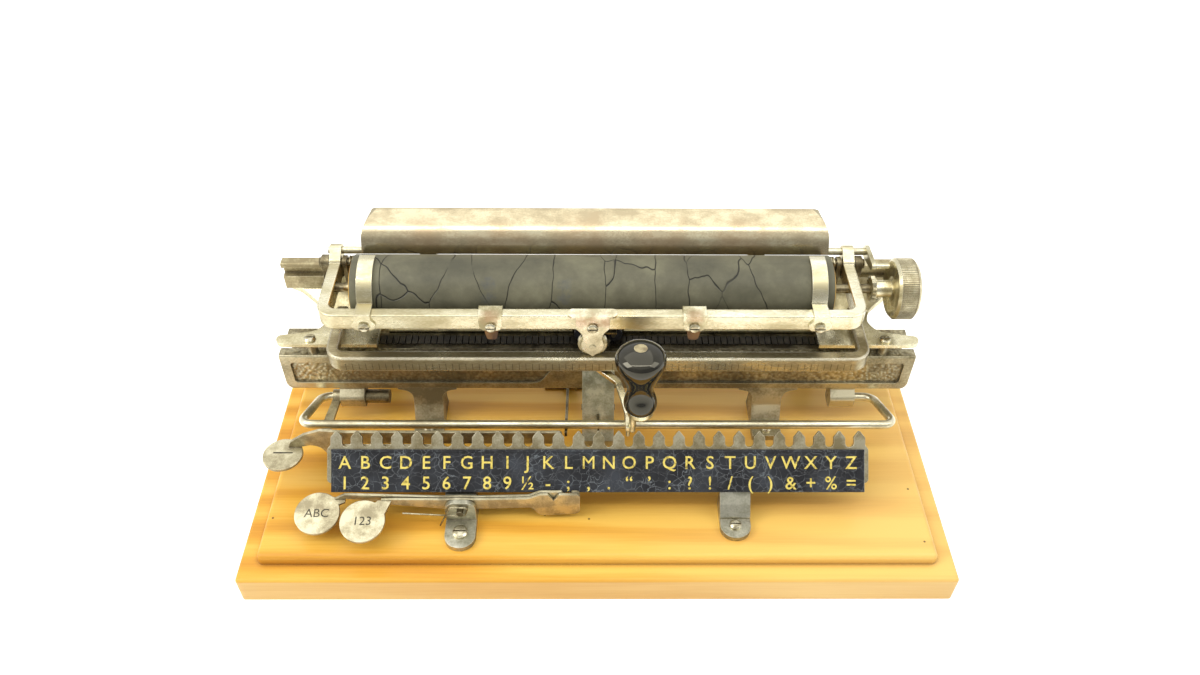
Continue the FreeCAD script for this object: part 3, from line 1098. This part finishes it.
def guide_wheel():
    wheel = rod_y(CARRIAGE_X, WHEEL_Z, WHEEL_RADIUS, WHEEL_Y, WHEEL_Y + WHEEL_WIDTH)
    wheel = soften(wheel, 0.4, lambda b: b.YLength < 0.01)
    return wheel.cut(rod_y(CARRIAGE_X, WHEEL_Z, WHEEL_PIN + SLIP, WHEEL_Y - 1, WHEEL_Y + WHEEL_WIDTH + 1))


def roller_links():
    def one(side):
        x0, x1 = span(side, FRAME_HALF - 8.2, FRAME_HALF - 6.2)
        made = link((PIVOT_Y, PIVOT_Z, 3.4), (ROLLER_Y, ROLLER_Z, 2.6), x0, x1)
        return made.cut([rod_x(PIVOT_Y, PIVOT_Z, PIVOT_RADIUS + SLIP, x0 - 1, x1 + 1),
                         rod_x(ROLLER_Y, ROLLER_Z, ROLLER_PIN + SLIP, x0 - 1, x1 + 1)])
    return both_ends(one)


def pressure_roller():
    c = CARRIAGE_X
    return union(rod_x(ROLLER_Y, ROLLER_Z, ROLLER_RADIUS, c - ROLLER_HALF, c + ROLLER_HALF),
                 rod_x(ROLLER_Y, ROLLER_Z, ROLLER_PIN, c - FRAME_HALF + 5.8, c + FRAME_HALF - 5.8))


def paper_table():
    """The curved sheet behind the platen, with two clips round the tie rod."""
    x0 = TABLE_X - TABLE_LENGTH / 2
    x1 = TABLE_X + TABLE_LENGTH / 2
    inner = TABLE_RADIUS - TABLE_THICKNESS
    sheet = rod_x(TABLE_Y, TABLE_Z, TABLE_RADIUS, x0, x1).cut(rod_x(TABLE_Y, TABLE_Z, inner, x0 - 1, x1 + 1))
    low = math.radians(165.0)
    wedge = plate_x([(TABLE_Y, TABLE_Z), (TABLE_Y + 30 * math.cos(low), TABLE_Z + 30 * math.sin(low)),
                     (TABLE_Y - 30, TABLE_Z + 30), (TABLE_Y, TABLE_Z + 30)], x0, x1)
    face = plate_y([(x0, TABLE_Z - 30), (x1, TABLE_Z - 30), (x1, TABLE_Z + TABLE_RADIUS, 7), (x0, TABLE_Z + TABLE_RADIUS, 7)],
                   TABLE_Y - 40, TABLE_Y + 5)
    pieces = [sheet.common(wedge).common(face)]
    for x in (CARRIAGE_X - 80, CARRIAGE_X + 80):
        clip = link((TIE_ROD_Y, TIE_ROD_Z, 3.0), (TIE_ROD_Y + 1.6, TIE_ROD_Z + 4.4, 1.4), x - 4, x + 4)
        pieces.append(clip.common(rod_x(TABLE_Y, TABLE_Z, inner + 0.4, x - 5, x + 5)))
    return union(*pieces).cut(rod_x(TIE_ROD_Y, TIE_ROD_Z, TIE_ROD_RADIUS + SLIP, -200, 200))


def platen_rubber():
    x0 = CARRIAGE_X - PLATEN_LENGTH / 2
    x1 = x0 + PLATEN_LENGTH
    roll = soften(rod_x(PLATEN_Y, PLATEN_Z, PLATEN_RADIUS, x0, x1), 0.5, lambda b: b.XLength < 0.01)
    return roll.cut(rod_x(PLATEN_Y, PLATEN_Z, PLATEN_CORE, x0 - 1, x1 + 1))


def platen_core():
    x0 = CARRIAGE_X - PLATEN_LENGTH / 2 - 0.8
    x1 = CARRIAGE_X + PLATEN_LENGTH / 2 + 0.8
    core = rod_x(PLATEN_Y, PLATEN_Z, PLATEN_CORE - SLIP, x0, x1)
    return core.cut(rod_x(PLATEN_Y, PLATEN_Z, AXLE_RADIUS + SLIP, x0 - 1, x1 + 1))


def platen_axle():
    end = CARRIAGE_X - PLATEN_LENGTH / 2 - 0.8
    cone = Part.makeCone(AXLE_RADIUS, 4.6, 5.0, vec(end - 5.0, PLATEN_Y, PLATEN_Z), X_AXIS)
    return union(rod_x(PLATEN_Y, PLATEN_Z, AXLE_RADIUS, CARRIAGE_X - FRAME_HALF - 1.0, CARRIAGE_X + FRAME_HALF + 27.1), cone)


def ratchet_wheel():
    corners = []
    for i in range(RATCHET_TEETH):
        angle = 2 * math.pi * i / RATCHET_TEETH
        for turn, radius in ((0.0, RATCHET_RADIUS), (0.8, RATCHET_RADIUS - 1.2)):
            a = angle + turn * 2 * math.pi / RATCHET_TEETH
            corners.append((PLATEN_Y + radius * math.cos(a), PLATEN_Z + radius * math.sin(a)))
    x0 = CARRIAGE_X + FRAME_HALF + 5.3
    return plate_x(corners, x0, x0 + 2.0).cut(rod_x(PLATEN_Y, PLATEN_Z, AXLE_RADIUS + SLIP, x0 - 1, x0 + 3))


def platen_knob():
    """The milled hand wheel, with the collar that clamps it to the axle."""
    x0 = CARRIAGE_X + FRAME_HALF + 7.5
    x1 = x0 + 8.0
    wheel = soften(rod_x(PLATEN_Y, PLATEN_Z, KNOB_RADIUS, x1, x1 + KNOB_LENGTH), 1.2, lambda b: b.XLength < 0.01)
    knob = union(wheel, rod_x(PLATEN_Y, PLATEN_Z, 4.2, x0, x1 + 1)).cut(rod_x(PLATEN_Y, PLATEN_Z, AXLE_RADIUS + SLIP, x0 - 1, 200))
    holes = [rod_z(x0 + 4, PLATEN_Y, 0.8, PLATEN_Z, PLATEN_Z + 6), rod_y(x0 + 4, PLATEN_Z, 0.8, PLATEN_Y - 6, PLATEN_Y)]
    return knob.cut(holes)


def line_space_lever():
    x0 = CARRIAGE_X + FRAME_HALF + 5.9
    arm = link((TIE_ROD_Y, TIE_ROD_Z, 3.1), (31.5, 110.4, 1.9), x0, x0 + 2.0)
    finger = rod_x(31.5, 110.4, 1.4, x0, x0 + 8.6)
    return union(arm, finger).cut(rod_x(TIE_ROD_Y, TIE_ROD_Z, TIE_ROD_RADIUS + SLIP, x0 - 1, x0 + 3))


NODES = {
    "base_board": base_board, "front_rail": front_rail, "centre_post": centre_post, "rear_rail": rear_rail,
    "end_casting_left": lambda: mirrored(end_casting_right()), "end_casting_right": end_casting_right,
    "rear_legs": rear_legs, "scale_rail_bar": scale_rail_bar, "rack_guide_strip": rack_guide_strip,
    "ink_bracket": ink_bracket, "ink_roller_left": lambda: ink_roller(-INK_X), "ink_roller_right": lambda: ink_roller(INK_X),
    "index_foot_left": index_foot_left, "index_foot_right": index_foot_right, "index_plate": index_plate,
    "index_comb": index_comb, "index_screws": index_screws, "shift_bar": shift_bar, "caps_key": caps_key,
    "figs_key": figs_key, "shift_spring": shift_spring, "frame_screws": frame_screws, "base_screws": base_screws,
    "frame_pivot_pins": frame_pivot_pins, "bail": bail, "space_key": space_key, "impression_lever": impression_lever,
    "plunger": plunger, "feed_lever": feed_lever, "feed_bracket": feed_bracket, "feed_spring": feed_spring,
    "feed_pawl_rod": feed_pawl_rod, "type_rack": type_rack, "type_slugs": type_slugs, "rack_hinge_pin": rack_hinge_pin,
    "selector_arm": selector_arm, "selector_ferrule": selector_ferrule, "selector_knob": selector_knob,
    "carriage_slide_bar": carriage_slide_bar, "carriage_pivot_pins": carriage_pivot_pins,
    "carriage_pivot_springs": carriage_pivot_springs, "carriage_frame": carriage_frame, "rear_rod": rear_rod,
    "bar_screws": bar_screws, "bar_clips": bar_clips, "clip_pads": clip_pads,
    "paper_guide_left": lambda: paper_guide(CARRIAGE_X - GUIDE_X), "paper_guide_right": lambda: paper_guide(CARRIAGE_X + GUIDE_X),
    "pointer_bracket": pointer_bracket, "guide_wheel": guide_wheel, "roller_links": roller_links,
    "pressure_roller": pressure_roller, "paper_table": paper_table, "platen_rubber": platen_rubber,
    "platen_core": platen_core, "platen_axle": platen_axle, "ratchet_wheel": ratchet_wheel, "platen_knob": platen_knob,
    "line_space_lever": line_space_lever,
}


def main():
    os.makedirs("parts", exist_ok=True)
    for name, make in NODES.items():
        shape = make()
        solids = shape.Solids
        print(name, "solids", len(solids), "valid", shape.isValid(), "volume", round(shape.Volume, 1))
        shape.exportStep("parts/" + name + ".step")


main()
